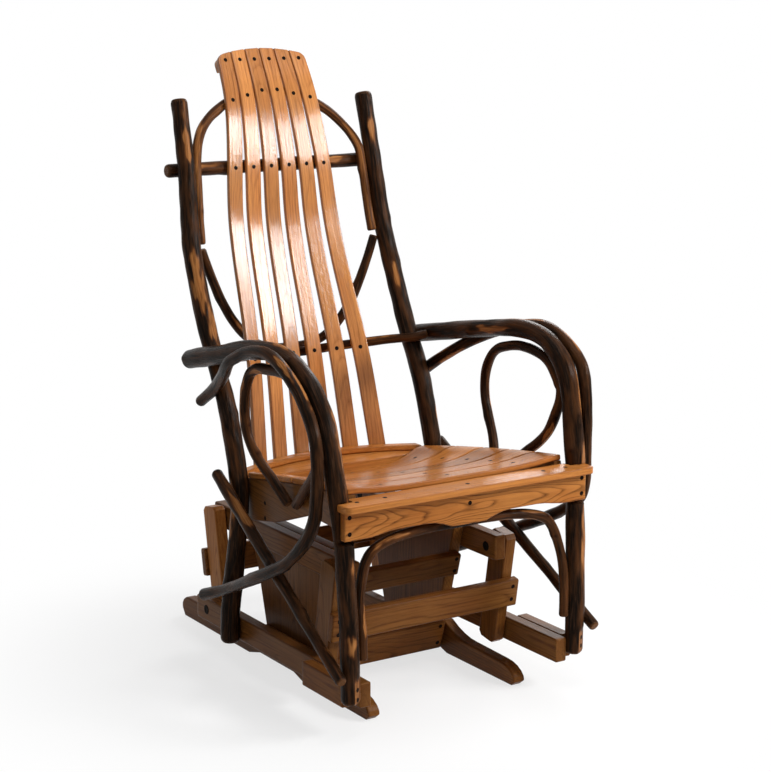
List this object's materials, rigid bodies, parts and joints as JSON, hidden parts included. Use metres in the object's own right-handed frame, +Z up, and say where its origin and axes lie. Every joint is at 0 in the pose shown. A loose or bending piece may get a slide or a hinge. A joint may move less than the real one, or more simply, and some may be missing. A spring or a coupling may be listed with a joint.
{
  "type": "glider rocker",
  "caption": "High-back glider rocker of dark bent hickory poles and tan oak slats, hung on swing arms from a floor base so the seat glides forward and back.",
  "frame": {"origin": "on the floor, under the centre of the bounding box", "axes": "+Z up, the chair faces -Y, +X is on the right of someone looking at its front"},
  "size_m": [0.6326, 0.8481, 1.2253],
  "materials": {
    "hickory_bark": "varnished bark",
    "oak_slats": "satin varnish",
    "oak_frame": "satin varnish",
    "dark_steel": "dark"
  },
  "bodies": {
    "base": {"front_left_top_bolt": "dark_steel", "front_right_top_bolt": "dark_steel", "left_floor_runner": "oak_frame", "left_top_rail": "oak_frame", "left_upright": "oak_frame", "lower_front_crossboard": "oak_frame", "rear_crossboard": "oak_frame", "rear_left_top_bolt": "dark_steel", "rear_right_top_bolt": "dark_steel", "right_floor_runner": "oak_frame", "right_top_rail": "oak_frame", "right_upright": "oak_frame", "upper_front_crossboard": "oak_frame"},
    "front_swing": {"front_left_swing_arm": "oak_frame", "front_right_swing_arm": "oak_frame", "front_stretcher": "oak_frame"},
    "rear_swing": {"rear_left_swing_arm": "oak_frame", "rear_right_swing_arm": "oak_frame", "rear_stretcher": "oak_frame"},
    "chair": {"back_slat_1": "oak_slats", "back_slat_2": "oak_slats", "back_slat_3": "oak_slats", "back_slat_4": "oak_slats", "back_slat_5": "oak_slats", "back_slat_6": "oak_slats", "crest_rail": "oak_frame", "front_apron": "oak_slats", "front_bow": "hickory_bark", "front_left_low_bolt": "dark_steel", "front_right_low_bolt": "dark_steel", "left_arm_loop": "hickory_bark", "left_front_block": "oak_frame", "left_inner_arm": "hickory_bark", "left_lower_rail": "oak_frame", "left_outer_arm": "hickory_bark", "left_rear_post": "hickory_bark", "left_side_apron": "oak_frame", "left_side_brace": "hickory_bark", "lower_bow": "hickory_bark", "lower_crossbar": "hickory_bark", "rear_left_low_bolt": "dark_steel", "rear_right_low_bolt": "dark_steel", "rear_seat_board": "oak_slats", "rear_seat_rail": "oak_slats", "right_arm_loop": "hickory_bark", "right_front_block": "oak_frame", "right_inner_arm": "hickory_bark", "right_lower_rail": "oak_frame", "right_outer_arm": "hickory_bark", "right_rear_post": "hickory_bark", "right_side_apron": "oak_frame", "right_side_brace": "hickory_bark", "seat_nosing": "oak_slats", "seat_slat_1": "oak_slats", "seat_slat_2": "oak_slats", "seat_slat_3": "oak_slats", "seat_slat_4": "oak_slats", "seat_slat_5": "oak_slats", "top_bow": "hickory_bark", "upper_crossbar": "hickory_bark"}
  },
  "joints": [
    {"name": "front_swing_hinge", "type": "hinge", "parent": "base", "child": "front_swing", "pos_m": [0, -0.2385, 0.2652], "axis": [1, 0, 0], "range_deg": [-12, 12]},
    {"name": "chair_hinge", "type": "hinge", "parent": "front_swing", "child": "chair", "pos_m": [0, -0.2065, 0.0823], "axis": [1, 0, 0], "range_deg": [-14, 14]},
    {"name": "rear_swing_hinge", "type": "hinge", "parent": "base", "child": "rear_swing", "pos_m": [0, 0.2325, 0.2652], "axis": [1, 0, 0], "range_deg": [-12.1, 12.1]}
  ],
  "couplings": [
    {"joint": "chair_hinge", "follows": "front_swing_hinge", "ratio": -1.1556},
    {"joint": "rear_swing_hinge", "follows": "front_swing_hinge", "ratio": 1}
  ]
}
